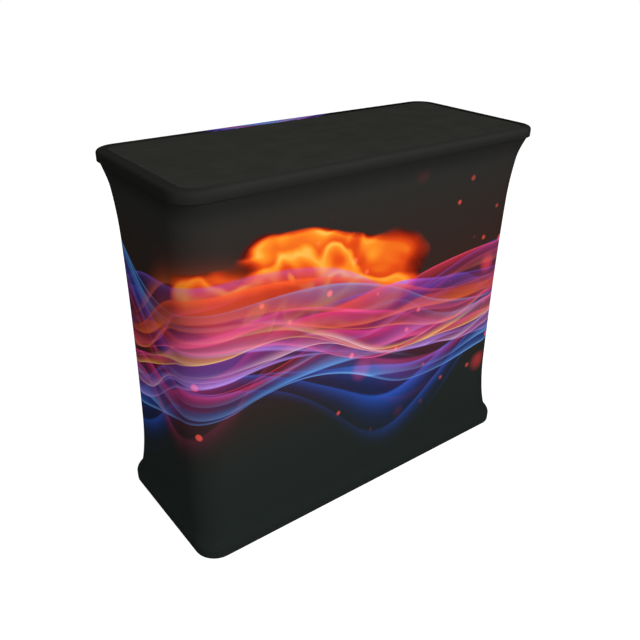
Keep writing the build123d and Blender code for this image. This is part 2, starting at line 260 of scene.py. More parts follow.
# Feet: six turned rubber buttons, each held up to the base board by a screw in its recess.
# Floor dust dulls their rims.
rubber, tree, shader, place = finish("foot_rubber", (0.022, 0.022, 0.021), 0.78)
rubber_skin = noise(tree, place, 1400.0, 2.0)
rubber_height = node(tree, "SeparateXYZ", {"Vector": place}).outputs["Z"]
rubber_dust = maths(tree, "MULTIPLY", between(tree, rubber_height, 0.0, 0.003, 1.0, 0.0),
                    noise(tree, place, 160.0, 4.0))
mottled(tree, shader, rubber_dust, (0.020, 0.020, 0.019), (0.085, 0.082, 0.077))
raised(tree, shader, rubber_skin, 0.00008)
dress(rubber, "feet")

# Hook tape: four strips stuck under the base board's edge. The cover's hem presses on to them.
hooks, tree, shader, place = finish("hook_tape", (0.016, 0.016, 0.017), 0.86)
hook_rows = node(tree, "TexVoronoi", {"Vector": place, "Scale": 900.0}, feature="F1")
mottled(tree, shader, hook_rows.outputs["Distance"], (0.034, 0.034, 0.035), (0.010, 0.010, 0.010))
raised(tree, shader, maths(tree, "SUBTRACT", 1.0, hook_rows.outputs["Distance"]), 0.0005)
dress(hooks, "hem_grip_strips")

# Leg brackets: pressed sheet steel with two ears, zinc plated, screwed to the boards at each
# leg's foot and head. The plating shows faint spangle and mottling.
zinc, tree, shader, place = finish("zinc_sheet", (0.50, 0.50, 0.49), 0.38, 1.0)
zinc_cells = node(tree, "TexVoronoi", {"Vector": place, "Scale": 170.0, "Randomness": 1.0})
zinc_cloud = noise(tree, place, 45.0, 4.0, 0.6)
zinc_cell = node(tree, "SeparateColor", {"Color": zinc_cells.outputs["Color"]}).outputs[0]
zinc_shade = between(tree, zinc_cell, 0.0, 1.0, 0.35, 0.65)
zinc_mix = maths(tree, "MULTIPLY_ADD", zinc_cloud, 0.5, maths(tree, "MULTIPLY", zinc_shade, 0.5))
mottled(tree, shader, zinc_mix, (0.40, 0.41, 0.42), (0.60, 0.60, 0.58))
dulled(tree, shader, zinc_mix, 0.2, 0.8, 0.30, 0.48)
raised(tree, shader, noise(tree, place, 700.0, 2.0), 0.00004)
dress(zinc, "base_bracket_left", "base_bracket_right", "top_bracket_left", "top_bracket_right")

# Screws: zinc-plated pan heads and countersunk heads that hold feet, brackets and cross-bars.
screw_zinc, tree, shader, place = finish("screw_zinc", (0.55, 0.55, 0.53), 0.32, 1.0)
screw_marks = noise(tree, place, 1100.0, 3.0, 0.6)
mottled(tree, shader, screw_marks, (0.42, 0.42, 0.40), (0.66, 0.66, 0.64))
dulled(tree, shader, screw_marks, 0.2, 0.8, 0.24, 0.44)
raised(tree, shader, screw_marks, 0.00005)
dress(screw_zinc, "foot_screws", "base_bracket_screws", "top_bracket_screws",
      "lower_bar_screws", "upper_bar_screws")

# Pins: bright turned steel pivots with flat heads, one through each end of a leg and each knee.
# The lathe's fine rings show on them.
turned, tree, shader, place = finish("turned_steel", (0.62, 0.62, 0.62), 0.20, 1.0)
turned_rings = noise(tree, spread(tree, place, (1.0, 60.0, 1.0)), 60.0, 3.0, 0.6)
dulled(tree, shader, turned_rings, 0.2, 0.8, 0.14, 0.30)
mottled(tree, shader, turned_rings, (0.54, 0.54, 0.54), (0.70, 0.70, 0.69))
raised(tree, shader, turned_rings, 0.00003)
dress(turned, "base_pivot_pins", "top_pivot_pins", "knee_pins")

# Knee springs: blued steel strip wound in a cup on the inner side of each knee. They push the
# knees straight, which lifts the worktop.
blued, tree, shader, place = finish("blued_strip", (0.16, 0.18, 0.25), 0.30, 1.0)
blued_cloud = noise(tree, place, 150.0, 4.0, 0.6)
mottled(tree, shader, blued_cloud, (0.10, 0.12, 0.20), (0.27, 0.27, 0.31))
dulled(tree, shader, blued_cloud, 0.3, 0.7, 0.22, 0.40)
raised(tree, shader, noise(tree, place, 1500.0, 2.0), 0.00002)
dress(blued, "knee_springs")

# Legs: square aluminium tubes, natural anodised, joined in pairs by round cross-bars. The
# die's fine lines run along each tube.
anodised, tree, shader, place = finish("anodised_tube", (0.74, 0.74, 0.75), 0.34, 1.0)
die_lines = noise(tree, spread(tree, place, (1.0, 1.0, 0.012)), 1300.0, 3.0, 0.6)
tube_cloud = noise(tree, place, 9.0, 4.0, 0.6)
mottled(tree, shader, tube_cloud, (0.68, 0.68, 0.69), (0.79, 0.79, 0.80))
dulled(tree, shader, die_lines, 0.2, 0.8, 0.27, 0.42)
raised(tree, shader, die_lines, 0.00004)
dress(anodised, "lower_leg_tube", "upper_leg_tube", "lower_cross_bar", "upper_cross_bar")

# Fittings: black glass-filled nylon mouldings pressed into the tubes' ends: hinge ends, knee
# forks with their spring cups, knee tongues and spring caps.
nylon, tree, shader, place = finish("moulded_nylon", (0.026, 0.026, 0.028), 0.46)
nylon_grain = noise(tree, place, 1200.0, 3.0, 0.6)
nylon_flow = noise(tree, place, 60.0, 3.0)
mottled(tree, shader, nylon_flow, (0.020, 0.020, 0.022), (0.040, 0.040, 0.042))
dulled(tree, shader, nylon_flow, 0.3, 0.7, 0.40, 0.56)
raised(tree, shader, nylon_grain, 0.00006)
dress(nylon, "lower_end_fitting", "upper_end_fitting", "knee_fork", "knee_tongue", "spring_caps")

# Print: the cloth is dye printed before it is sewn, with a generic band of silky ribbons and
# smoke on near black. One pattern runs right round the cover and over its rims, so it is drawn
# by how far round the plan and how far up the cloth a point lies.
cover_width, cover_depth, cover_corner = 1.070, 0.450, 0.058
half_width = cover_width / 2 - cover_corner
half_depth = cover_depth / 2 - cover_corner
half_girth = 2 * (half_width + half_depth) + pi * cover_corner


def ink(code):
    """A printed colour from its six-digit code."""
    shares = [int(code[i:i + 2], 16) / 255 for i in (0, 2, 4)]
    return tuple(s / 12.92 if s <= 0.04045 else ((s + 0.055) / 1.055) ** 2.4 for s in shares)


def ramped(tree, value, stops):
    """Printed colours that follow each other as a value grows."""
    made = node(tree, "ValToRGB", {"Fac": value})
    ramp = made.color_ramp.elements
    for _ in stops[2:]:
        ramp.new(0.5)
    for spot, (stop, code) in zip(ramp, stops):
        spot.position, spot.color = stop, (*ink(code), 1)
    return made.outputs["Color"]


def sway(tree, turn, size, turns, phase):
    """A wave that closes on itself round the cover."""
    angle = maths(tree, "MULTIPLY_ADD", turn, turns, phase)
    return maths(tree, "MULTIPLY", maths(tree, "SINE", angle), size)


def banded(tree, value, low, full, fading, gone):
    """1 over a middle range of a value, with soft ends below and above it."""
    rise = between(tree, value, low, full, smooth=True)
    return maths(tree, "MULTIPLY", rise, between(tree, value, fading, gone, 1.0, 0.0, smooth=True))


def cloth_run(tree):
    """How far round and how far up the cloth a point lies, as X and Y."""
    lengths = node(tree, "UVMap", uv_map="cloth").outputs[0]
    return node(tree, "SeparateXYZ", {"Vector": lengths}).outputs


def pleats(tree, fold, rise=0.10):
    """Silky folds: each rises soon to its light edge and dies away to the next."""
    into = maths(tree, "FRACT", fold)
    fall = maths(tree, "POWER", maths(tree, "SUBTRACT", 1.0, into), 1.8)
    return maths(tree, "MULTIPLY", fall, between(tree, into, 0.0, rise, smooth=True))


def ribbon_ink():
    """Node group that prints one translucent ribbon over what is printed so far."""
    tree = bpy.data.node_groups.new("ribbon_ink", "ShaderNodeTree")
    numbers = ("Turn", "Height", "Middle", "Sway", "Sway turns", "Sway phase", "Ripple",
               "Ripple turns", "Ripple phase", "Width", "Width turns", "Width phase",
               "Side", "Folds", "Strength")
    for name in numbers:
        tree.interface.new_socket(name, in_out="INPUT", socket_type="NodeSocketFloat")
    for name in ("Deep", "Bright", "Under"):
        tree.interface.new_socket(name, in_out="INPUT", socket_type="NodeSocketColor")
    tree.interface.new_socket("Print", in_out="OUTPUT", socket_type="NodeSocketColor")
    given = tree.nodes.new("NodeGroupInput").outputs
    turn = given["Turn"]
    wave = sway(tree, turn, given["Sway"], given["Sway turns"], given["Sway phase"])
    ripple = sway(tree, turn, given["Ripple"], given["Ripple turns"], given["Ripple phase"])
    line = maths(tree, "ADD", given["Middle"], maths(tree, "ADD", wave, ripple))
    swell = sway(tree, turn, 0.45, given["Width turns"], given["Width phase"])
    width = maths(tree, "MULTIPLY_ADD", swell, given["Width"], given["Width"])
    off = maths(tree, "MULTIPLY", maths(tree, "SUBTRACT", given["Height"], line), given["Side"])
    across = maths(tree, "DIVIDE", off, width)
    crisp = between(tree, across, 0.0, 0.025, smooth=True)
    fading = between(tree, across, 0.15, 1.0, 1.0, 0.0, smooth=True)
    body = maths(tree, "MULTIPLY", crisp, fading)
    drift = sway(tree, turn, 0.9, given["Sway turns"], given["Ripple phase"])
    silk = pleats(tree, maths(tree, "MULTIPLY_ADD", across, given["Folds"], drift))
    lit = maths(tree, "MULTIPLY", crisp, between(tree, across, 0.01, 0.09, 1.0, 0.0, smooth=True))
    breath = sway(tree, turn, 0.28, given["Width turns"], given["Sway phase"])
    power = maths(tree, "MULTIPLY", given["Strength"], maths(tree, "ADD", breath, 0.72))
    tone = tint(tree, maths(tree, "MULTIPLY_ADD", silk, 0.85, 0.10), given["Deep"], given["Bright"])
    sheer = maths(tree, "MULTIPLY_ADD", silk, 0.50, 0.50)
    laid = maths(tree, "MULTIPLY", maths(tree, "MULTIPLY", body, power), sheer)
    edge = maths(tree, "MULTIPLY", maths(tree, "MULTIPLY", lit, power), 0.65)
    veil = tint(tree, laid, given["Under"], tone)
    result = tree.nodes.new("NodeGroupOutput")
    feed(tree, result.inputs["Print"], tint(tree, edge, veil, given["Bright"], "SCREEN"))
    return tree


ribbon_names = ("Middle", "Sway", "Sway turns", "Sway phase", "Ripple", "Ripple turns",
                "Ripple phase", "Width", "Width turns", "Width phase", "Side", "Folds",
                "Strength")
ribbons = (
    (0.67, 0.070, 2, 3.9, 0.015, 5, 1.0, 0.26, 3, 0.3, -1, 2.1, 0.62, "24104e", "7450c4"),
    (0.72, 0.200, 1, 1.5, 0.105, 2, 1.5, 0.13, 4, 1.2, -1, 1.9, 0.75, "2c1880", "7c56e0"),
    (0.70, 0.210, 1, 1.9, 0.105, 2, 1.2, 0.09, 3, 4.4, -1, 1.4, 0.75, "7c1020", "f04060"),
    (0.71, 0.205, 1, 1.2, 0.100, 2, 1.9, 0.10, 5, 0.9, -1, 1.6, 0.75, "10308a", "58a8f4"),
    (0.42, 0.075, 2, 3.9, 0.015, 5, 5.0, 0.19, 3, 4.2, -1, 2.4, 0.95, "0a1248", "2e60d0"),
    (0.62, 0.080, 2, 3.1, 0.012, 4, 0.2, 0.20, 2, 2.6, -1, 2.2, 0.90, "4c0a10", "f04a20"),
    (0.34, 0.070, 2, 3.2, 0.015, 4, 3.3, 0.10, 4, 2.0, 1, 2.1, 0.85, "14287c", "6ea8f4"),
    (0.53, 0.085, 2, 3.0, 0.012, 6, 0.7, 0.22, 4, 0.5, -1, 2.6, 0.95, "4c0a3a", "ec3c88"),
    (0.52, 0.080, 2, 3.6, 0.020, 5, 4.0, 0.15, 3, 2.1, 1, 2.3, 0.85, "7c1608", "ff7430"),
    (0.41, 0.075, 2, 2.9, 0.015, 3, 2.2, 0.13, 5, 3.5, 1, 2.2, 0.75, "301a68", "b48cf0"),
    (0.48, 0.075, 2, 4.1, 0.015, 4, 5.5, 0.11, 5, 2.9, 1, 1.9, 0.75, "6a1240", "ff5c90"),
    (0.46, 0.080, 2, 3.5, 0.012, 5, 2.2, 0.05, 3, 1.2, 1, 1.3, 0.90, "d03c0c", "ffc868"),
    (0.43, 0.075, 2, 3.2, 0.010, 7, 1.6, 0.03, 4, 3.8, 1, 1.0, 0.60, "c04090", "ffd8e8"),
)

# Scale, share of the cells that hold one, softness, strength and ink of each kind of ember.
embers = (
    (7.0, 0.30, 0.10, 0.60, "d8303a"),
    (26.0, 0.10, 0.08, 0.75, "f0503c"),
)
# The rims' greys by their share of the girth, from the rear by the left end, front and right end:
# painted light and shade, lighter on the front that faces the key lamp and darkest at the rear and
# right end, which lie in shade.
rim_inks_painted_light = ((0.0, "151514"), (0.16, "222220"), (0.31, "222220"),
            (0.36, "2c2c2a"), (0.66, "2c2c2a"), (0.69, "151514"))
flame_inks = ((0.18, "500e08"), (0.36, "a82a0e"), (0.55, "e04c14"),
              (0.74, "fa9024"), (0.95, "ffd868"))


def print_ground(tree, run, height):
    """The near black that the picture lies on, warmer at mid height, with painted shade just under
    the rim, and greys with painted light and shade on the rims.
    """
    ground = tint(tree, between(tree, height, 0.1, 0.9), ink("202523"), ink("292927"))
    ground = tint(tree, banded(tree, height, 0.22, 0.50, 0.62, 0.92), ground, ink("32231f"))
    # Painted shade: the ground darkens just under the rim's roll, where the rim shades the sleeve.
    painted_shade_under_rim = between(tree, run["Y"], 0.86, 0.922, smooth=True)
    ground = tint(tree, painted_shade_under_rim, ground, ink("20201f"))
    # Painted light and shade: the rims' grey is lighter on the front and darker at the ends and
    # rear by where the lamps fall, and takes over from the ground between 0.932 and 0.954 up the
    # cloth.
    rim_ground_painted_light = ramped(tree, maths(tree, "MULTIPLY", run["X"], 0.5 / half_girth), rim_inks_painted_light)
    return tint(tree, between(tree, run["Y"], 0.932, 0.954), ground, rim_ground_painted_light)


def smoke_over(tree, place, turn, height, ground):
    """A bank of smoke lit like fire, over the ground and behind the ribbons."""
    room = maths(tree, "MULTIPLY", banded(tree, height, 0.44, 0.62, 0.68, 0.90),
                 maths(tree, "ADD", sway(tree, turn, 0.5, 2.0, 2.35), 0.5))
    cloud = maths(tree, "SUBTRACT", noise(tree, place, 2.3, 1.0, 0.45, 1.7), 0.88)
    depth = maths(tree, "MULTIPLY_ADD", room, 0.74, cloud)
    flow = maths(tree, "MULTIPLY_ADD", noise(tree, place, 4.0, 1.5, 0.5, 1.2), 4.5,
                 maths(tree, "MULTIPLY", height, -4.0))
    folds = pleats(tree, maths(tree, "MULTIPLY_ADD", depth, 2.5, flow), 0.35)
    inner = between(tree, depth, 0.0, 0.12, -0.16, 0.22, smooth=True)
    glow = maths(tree, "MULTIPLY_ADD", noise(tree, place, 5.0, 1.0, 0.5, 1.0), 0.55, inner)
    light = maths(tree, "MULTIPLY_ADD", folds, 0.52, glow)
    edge = between(tree, depth, -0.01, 0.045, smooth=True)
    cover = maths(tree, "MULTIPLY", edge, 0.92)
    return tint(tree, cover, ground, ramped(tree, light, flame_inks))


def cloth_print(tree, place):
    """The printed picture's colour, drawn from the cloth's own lengthwise coordinates."""
    run = cloth_run(tree)
    folded = node(tree, "TexNoise", {"Vector": place, "Scale": 1.9, "Detail": 0.6})
    shift = node(tree, "SeparateXYZ", {"Vector": folded.outputs["Color"]}).outputs
    turn = maths(tree, "MULTIPLY", run["X"], pi / half_girth)
    turn = maths(tree, "MULTIPLY_ADD", maths(tree, "SUBTRACT", shift["X"], 0.5), 0.6, turn)
    height = maths(tree, "SUBTRACT", shift["Y"], 0.5)
    height = maths(tree, "MULTIPLY_ADD", height, 0.13, run["Y"])
    printed = smoke_over(tree, place, turn, height, print_ground(tree, run, height))

    group = ribbon_ink()
    for *values, deep, bright in ribbons:
        laid = tree.nodes.new("ShaderNodeGroup")
        laid.node_tree = group
        sockets = dict(zip(ribbon_names, values))
        sockets.update({"Turn": turn, "Height": height, "Under": printed})
        sockets.update({"Deep": (*ink(deep), 1), "Bright": (*ink(bright), 1)})
        for name, value in sockets.items():
            feed(tree, laid.inputs[name], value)
        printed = laid.outputs["Print"]

    near = banded(tree, height, 0.14, 0.30, 0.76, 0.92)
    for scale, share, softness, strength, code in embers:
        sparks = node(tree, "TexVoronoi", {"Vector": place, "Scale": scale, "Randomness": 1.0})
        chance = node(tree, "SeparateColor", {"Color": sparks.outputs["Color"]}).outputs
        size = maths(tree, "MULTIPLY_ADD", chance[1], 0.20, 0.08)
        spark = between(tree, maths(tree, "SUBTRACT", sparks.outputs["Distance"], size),
                        -softness, softness, 1.0, 0.0, smooth=True)
        few = between(tree, chance[0], 1.0 - share, 1.001 - share)
        spark = maths(tree, "MULTIPLY", maths(tree, "MULTIPLY", spark, few), near)
        laid = maths(tree, "MULTIPLY", spark, strength)
        printed = tint(tree, laid, printed, ink(code), "SCREEN")
    return printed


knit_pitch, knit_depth = 0.0012, 0.00008


def knit(tree, shader, along, up, depth):
    """Fine loops of a stretch knit, in columns one pitch apart and courses two."""
    columns = maths(tree, "SINE", maths(tree, "MULTIPLY", along, 2 * pi / knit_pitch))
    courses = maths(tree, "SINE", maths(tree, "MULTIPLY", up, pi / knit_pitch))
    loops = maths(tree, "MULTIPLY_ADD", columns, 0.25, 0.5)
    raised(tree, shader, maths(tree, "MULTIPLY_ADD", courses, 0.25, loops), depth)


printed_cloth, tree, shader, place = finish(
    "printed_knit", (0.03, 0.03, 0.03), 0.90, Specular_IOR_Level=0.0)
feed(tree, shader.inputs["Base Color"], cloth_print(tree, place))
knit_run = cloth_run(tree)
knit(tree, shader, knit_run["X"], knit_run["Y"], knit_depth)

cloth_back, tree, shader, place = finish(
    "knit_back", (0.70, 0.70, 0.69), 0.86, Specular_IOR_Level=0.10)
back_run = cloth_run(tree)
back_cloud = noise(tree, place, 30.0, 3.0)
back_white = tint(tree, back_cloud, (0.66, 0.66, 0.655), (0.74, 0.74, 0.73))
mottled(tree, shader, 0.13, back_white, cloth_print(tree, place))
knit(tree, shader, back_run["X"], back_run["Y"], 1.25 * knit_depth)


# Sleeve: one tube of 1 mm printed stretch knit between the rims. It is pulled in to a waist and
# flares at the base board, in the side view that the photograph shows, and is open at the rear.
def rounded_ring(across, along, radius, step, corner_steps):
    """A rounded rectangle of edges round the origin, with its long runs divided."""
    ring = bmesh.new()
    bmesh.ops.create_grid(ring, x_segments=1, y_segments=1, size=0.5)
    bmesh.ops.scale(ring, vec=(across, along, 1.0), verts=ring.verts)
    bmesh.ops.bevel(ring, geom=ring.verts[:], offset=radius, affect="VERTICES",
                    segments=corner_steps, profile=0.5, material=-1, clamp_overlap=False)
    bmesh.ops.delete(ring, geom=ring.faces[:], context="FACES_ONLY")
    for edge in [e for e in ring.edges if e.calc_length() > 2 * step]:
        cuts = round(edge.calc_length() / step) - 1
        bmesh.ops.subdivide_edges(ring, edges=[edge], cuts=cuts)
    return ring


def drawn_up(ring, rows):
    """Carries a ring of edges up one unit for each further row, and returns its last edges."""
    edges = ring.edges[:]
    for row in range(1, rows):
        drawn = bmesh.ops.extrude_edge_only(ring, edges=edges)["geom"]
        points = [v for v in drawn if isinstance(v, bmesh.types.BMVert)]
        bmesh.ops.translate(ring, vec=(0, 0, 1), verts=points)
        edges = [e for e in drawn if isinstance(e, bmesh.types.BMEdge)
                 and all(round(v.co.z) == row for v in e.verts)]
    bmesh.ops.recalc_face_normals(ring, faces=ring.faces)
    return edges


def corner_of(x, y, half_x, half_y):
    """The corner centre nearest to a point of a rounded rectangle, and the way out from it."""
    centre = Vector((max(-half_x, min(half_x, x)), max(-half_y, min(half_y, y)), 0.0))
    return centre, (Vector((x, y, 0.0)) - centre).normalized()


def girth_at(x, y):
    """How far round the plan a point lies, from the middle of the rear."""
    turned = atan2(max(abs(x) - half_width, 0.0), max(abs(y) - half_depth, 0.0))
    run = min(abs(x), half_width) + half_depth - min(abs(y), half_depth) + cover_corner * turned
    run = half_girth - run if y < 0 else run
    return run if x < 0 else 2 * half_girth - run


def inside_corner(inset):
    """The corner radius of a plan that is drawn in evenly from the rims."""
    return cover_corner - inset


def drawn_plan(x, y, inset, height, radius):
    """A point of the rims' plan, carried to a plan with another inset and corner radius."""
    centre, out = corner_of(x, y, half_width, half_depth)
    centre.x *= (cover_width / 2 - inset - radius) / half_width
    centre.y *= (cover_depth / 2 - inset - radius) / half_depth
    return centre + out * radius + Vector((0, 0, height))


def round_plan(rows, corner=inside_corner, capped=False, step=0.030, corner_steps=16):
    """A skin right round the cover through rows of inset, height and length up the cloth."""
    skin = rounded_ring(cover_width, cover_depth, cover_corner, step, corner_steps)
    last = drawn_up(skin, len(rows))
    if capped:
        bmesh.ops.contextual_create(skin, geom=last)
        bmesh.ops.recalc_face_normals(skin, faces=skin.faces)
    uv = skin.loops.layers.uv.new("cloth")
    for face in skin.faces:
        girths = [girth_at(loop.vert.co.x, loop.vert.co.y) for loop in face.loops]
        wraps = max(girths) - min(girths) > half_girth and len(girths) == 4
        for loop, girth in zip(face.loops, girths):
            girth += 2 * half_girth if wraps and girth < half_girth else 0.0
            loop[uv].uv = (girth, rows[round(loop.vert.co.z)][2])
    for point in skin.verts:
        inset, height, _ = rows[round(point.co.z)]
        point.co = drawn_plan(point.co.x, point.co.y, inset, height, corner(inset))
    return skin


def with_lengths(rows, start):
    """Adds to each row of inset and height its length up the cloth."""
    lengths = [start]
    for (a, low), (b, high) in zip(rows, rows[1:]):
        lengths.append(lengths[-1] + ((b - a) ** 2 + (high - low) ** 2) ** 0.5)
    return [(*row, length) for row, length in zip(rows, lengths)]


def tangent_arcs(points, way, step):
    """Rows along a chain of arcs through points, each arc leaving as the last one arrives."""
    rows, way = [points[0]], Vector(way)
    for start, end in zip(points, points[1:]):
        chord = Vector(end) - Vector(start)
        turned = 2 * atan2(way.x * chord.y - way.y * chord.x, way.dot(chord))
        radius = chord.length / (2 * sin(turned / 2))
        centre = Vector(start) + radius * Vector((-way.y, way.x))
        spoke = Vector(start) - centre
        count = max(8, round(chord.length / step))
        for i in range(1, count + 1):
            angle = turned * i / count
            spun = (spoke.x * cos(angle) - spoke.y * sin(angle),
                    spoke.x * sin(angle) + spoke.y * cos(angle))
            rows.append((centre.x + spun[0], centre.y + spun[1]))
        way = Vector((way.x * cos(turned) - way.y * sin(turned),
                      way.x * sin(turned) + way.y * cos(turned)))
    return rows


def settled(piece):
    """Writes a piece's modifiers into its mesh."""
    graph = bpy.context.evaluated_depsgraph_get()
    finished = bpy.data.meshes.new_from_object(piece.evaluated_get(graph))
    piece.modifiers.clear()
    piece.data = finished
    return piece


def smoothed(piece, sharpest=0.7):
    """Shades a piece smoothly and keeps the edges that turn more than this sharp."""
    work = bmesh.new()
    work.from_mesh(piece.data)
    for face in work.faces:
        face.smooth = True
    for edge in work.edges:
        edge.smooth = len(edge.link_faces) == 2 and edge.calc_face_angle() < sharpest
    work.to_mesh(piece.data)
    work.free()
    return piece


def thickened(piece, thickness, **settings):
    """Gives a skin its thickness, inwards from its outer face."""
    wall = piece.modifiers.new("thickness", "SOLIDIFY")
    wall.thickness = thickness
    wall.offset = -1.0
    wall.use_even_offset = True
    for name, value in settings.items():
        setattr(wall, name, value)
    return settled(piece)


def clothed(piece):
    """Prints a piece of cloth on its outer face and leaves its back pale."""
    for material in (printed_cloth, cloth_back):
        piece.data.materials.append(material)


cloth_thick, rim_cloth_thick = 0.001, 0.0006
base_seam, rim_seam = 0.024, 0.925
waist_inset, waist_corner = 0.019, 0.096
sleeve_height = rim_seam - base_seam
waist = (1.0, 0.52)
down = ((0.93, 0.225), (0.7, 0.097), (0.44, 0.038), (0.17, 0.0175), (0.0, 0.0))
up = ((0.925, 0.8), (0.66, 0.933), (0.3, 0.982), (0.0, 1.0))
sleeve_low, sleeve_high = (
    [(inset * waist_inset, base_seam + share * sleeve_height) for inset, share in (waist, *half)]
    for half in (down, up)
)
sleeve_step = 0.020
sleeve_rows = tangent_arcs(sleeve_low, (0, -1), sleeve_step)[::-1]
sleeve_rows += tangent_arcs(sleeve_high, (0, 1), sleeve_step)[1:]
sleeve_rows = with_lengths(sleeve_rows, base_seam)


def waisted_corner(inset):
    """The sleeve's corner radius, which grows towards the waist as its sides draw in."""
    return cover_corner + inset / waist_inset * (waist_corner - cover_corner)


sleeve = placed("printed_sleeve",
                made_mesh("printed_sleeve", round_plan(sleeve_rows, waisted_corner)))
clothed(sleeve)

crease_drop, crease_depth, crease_reach = 0.004, 0.0028, 0.10
for point in sleeve.data.vertices:
    below = (rim_seam - point.co.z) / crease_drop
    from_end = max(0.0, half_width - abs(point.co.x)) / crease_reach
    centre, out = corner_of(point.co.x, point.co.y, half_width, half_depth)
    point.co -= out * crease_depth * below * exp(1 - below - from_end)
thickened(sleeve, cloth_thick, material_offset=1)

opening_width, opening_height, opening_sill = 0.620, 0.610, 0.150
opening_corner, opening_bow = 0.085, 0.012
opening_middle = opening_sill + opening_height / 2
opening_half_x = opening_width / 2 - opening_corner
opening_half_z = opening_height / 2 - opening_corner


def on_opening(point, outward):
    """A point of the opening's ring, moved outward from its edge and on to the bowed outline."""
    centre, out = corner_of(point.x, point.y, opening_half_x, opening_half_z)
    flat = centre + out * (opening_corner + outward)
    share_x = min(1.0, abs(flat.x) / (opening_width / 2))
    share_z = min(1.0, abs(flat.y) / (opening_height / 2))
    bow_x = opening_bow * (1 - share_z ** 2) * flat.x / (opening_width / 2)
    bow_z = opening_bow * (1 - share_x ** 2) * flat.y / (opening_height / 2)
    return Vector((flat.x + bow_x, 0.0, opening_middle + flat.y + bow_z))


def faced_out(work):
    """Turns the faces of a closed solid outwards."""
    bmesh.ops.recalc_face_normals(work, faces=work.faces)
    if work.calc_volume(signed=True) < 0:
        bmesh.ops.reverse_faces(work, faces=work.faces)


cut_near, cut_far = 0.10, 0.30
cutter_work = rounded_ring(opening_width, opening_height, opening_corner,
                           step=0.030, corner_steps=12)
cutter_first = cutter_work.edges[:]
cutter_last = drawn_up(cutter_work, 2)
for cutter_end in (cutter_first, cutter_last):
    bmesh.ops.contextual_create(cutter_work, geom=cutter_end)
for point in cutter_work.verts:
    cut_at = cut_far if point.co.z > 0.5 else cut_near
    point.co = on_opening(point.co, 0.0) + Vector((0, cut_at, 0))
faced_out(cutter_work)
cutter = placed("opening_cutter", made_mesh("opening_cutter", cutter_work))
cut = sleeve.modifiers.new("opening", "BOOLEAN")
cut.operation, cut.solver, cut.object = "DIFFERENCE", "EXACT", cutter
smoothed(settled(sleeve))
bpy.data.objects.remove(cutter)
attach(sleeve, "base")
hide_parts("cover_sleeve")

# Opening tape: black woven tape folded over the cut edge, 11 mm wide on each face and sewn
# through, so that the opening holds its shape. A row of stitches runs along both faces.
sleeve_heights = [row[1] for row in sleeve_rows]
sleeve_insets = [row[0] for row in sleeve_rows]


def rear_face(height):
    """How far back the sleeve's outer face lies at a height."""
    return cover_depth / 2 - float(np.interp(height, sleeve_heights, sleeve_insets))


tape_inner, tape_outer, tape_half, tape_points = -0.007, 0.004, 0.0013, 14
tape_middle, tape_reach = (tape_inner + tape_outer) / 2, (tape_outer - tape_inner) / 2
tape_rows = []
for i in range(tape_points):
    angle = 2 * pi * i / tape_points
    flat_share = copysign(abs(cos(angle)) ** 0.5, cos(angle))
    thick_share = copysign(abs(sin(angle)) ** 0.7, sin(angle))
    tape_rows.append((tape_middle + flat_share * tape_reach, thick_share * tape_half))
tape_work = rounded_ring(opening_width, opening_height, opening_corner,
                         step=0.020, corner_steps=14)
tape_first = tape_work.edges[:]
tape_last = drawn_up(tape_work, len(tape_rows))
bmesh.ops.bridge_loops(tape_work, edges=tape_first + tape_last)
for point in tape_work.verts:
    outward, lift = tape_rows[round(point.co.z)]
    point.co = on_opening(point.co, outward)
    point.co.y = rear_face(point.co.z) - cloth_thick / 2 + lift
faced_out(tape_work)
tape = smoothed(placed("opening_tape", made_mesh("opening_tape", tape_work)), sharpest=1.2)
woven, tree, shader, place = finish(
    "woven_tape", (0.018, 0.018, 0.018), 0.80, Specular_IOR_Level=0.3, Sheen_Weight=0.10)
weave_axes = node(tree, "SeparateXYZ", {"Vector": place}).outputs
weave_waves = []
for slant in ("ADD", "SUBTRACT"):
    slanted = maths(tree, slant, weave_axes["X"], weave_axes["Z"])
    weave_waves.append(maths(tree, "SINE", maths(tree, "MULTIPLY", slanted, 4200.0)))
weave = maths(tree, "MULTIPLY", *weave_waves)
weave = maths(tree, "MULTIPLY_ADD", weave, 0.5, 0.5)
mottled(tree, shader, weave, (0.012, 0.012, 0.012), (0.032, 0.032, 0.032))
raised(tree, shader, weave, 0.00015)
tape.data.materials.append(woven)
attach(tape, "base")
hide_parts("opening_binding")

thread, tree, shader, place = finish(
    "black_thread", (0.030, 0.030, 0.031), 0.70, Specular_IOR_Level=0.1)
thread_twist = node(tree, "TexWave", {"Vector": place, "Scale": 900.0, "Distortion": 0.4},
                    bands_direction="DIAGONAL")
mottled(tree, shader, thread_twist.outputs["Fac"], (0.016, 0.016, 0.016), (0.036, 0.036, 0.035))
raised(tree, shader, thread_twist.outputs["Fac"], 0.00008)

stitch_pitch, stitch_share = 0.0034, 0.40
thread_wide, thread_high = 0.00030, 0.00026


def stitched(name, work, body):
    """Makes each edge of a fine ring one stitch of thread, lying on the cloth."""
    seam = bmesh.new()
    for edge in work.edges:
        start, end = (v.co.copy() for v in edge.verts)
        spin = (end - start).to_track_quat("X", "Z").to_matrix().to_4x4()
        reach = stitch_share * edge.calc_length()
        size = Matrix.Diagonal((reach, thread_wide, thread_high, 1.0))
        bmesh.ops.create_icosphere(seam, subdivisions=1, radius=1.0,
                                   matrix=Matrix.Translation((start + end) / 2) @ spin @ size)
    work.free()
    piece = smoothed(placed(name, made_mesh(name, seam)), sharpest=3.0)
    piece.data.materials.append(thread)
    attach(piece, body)
    return piece


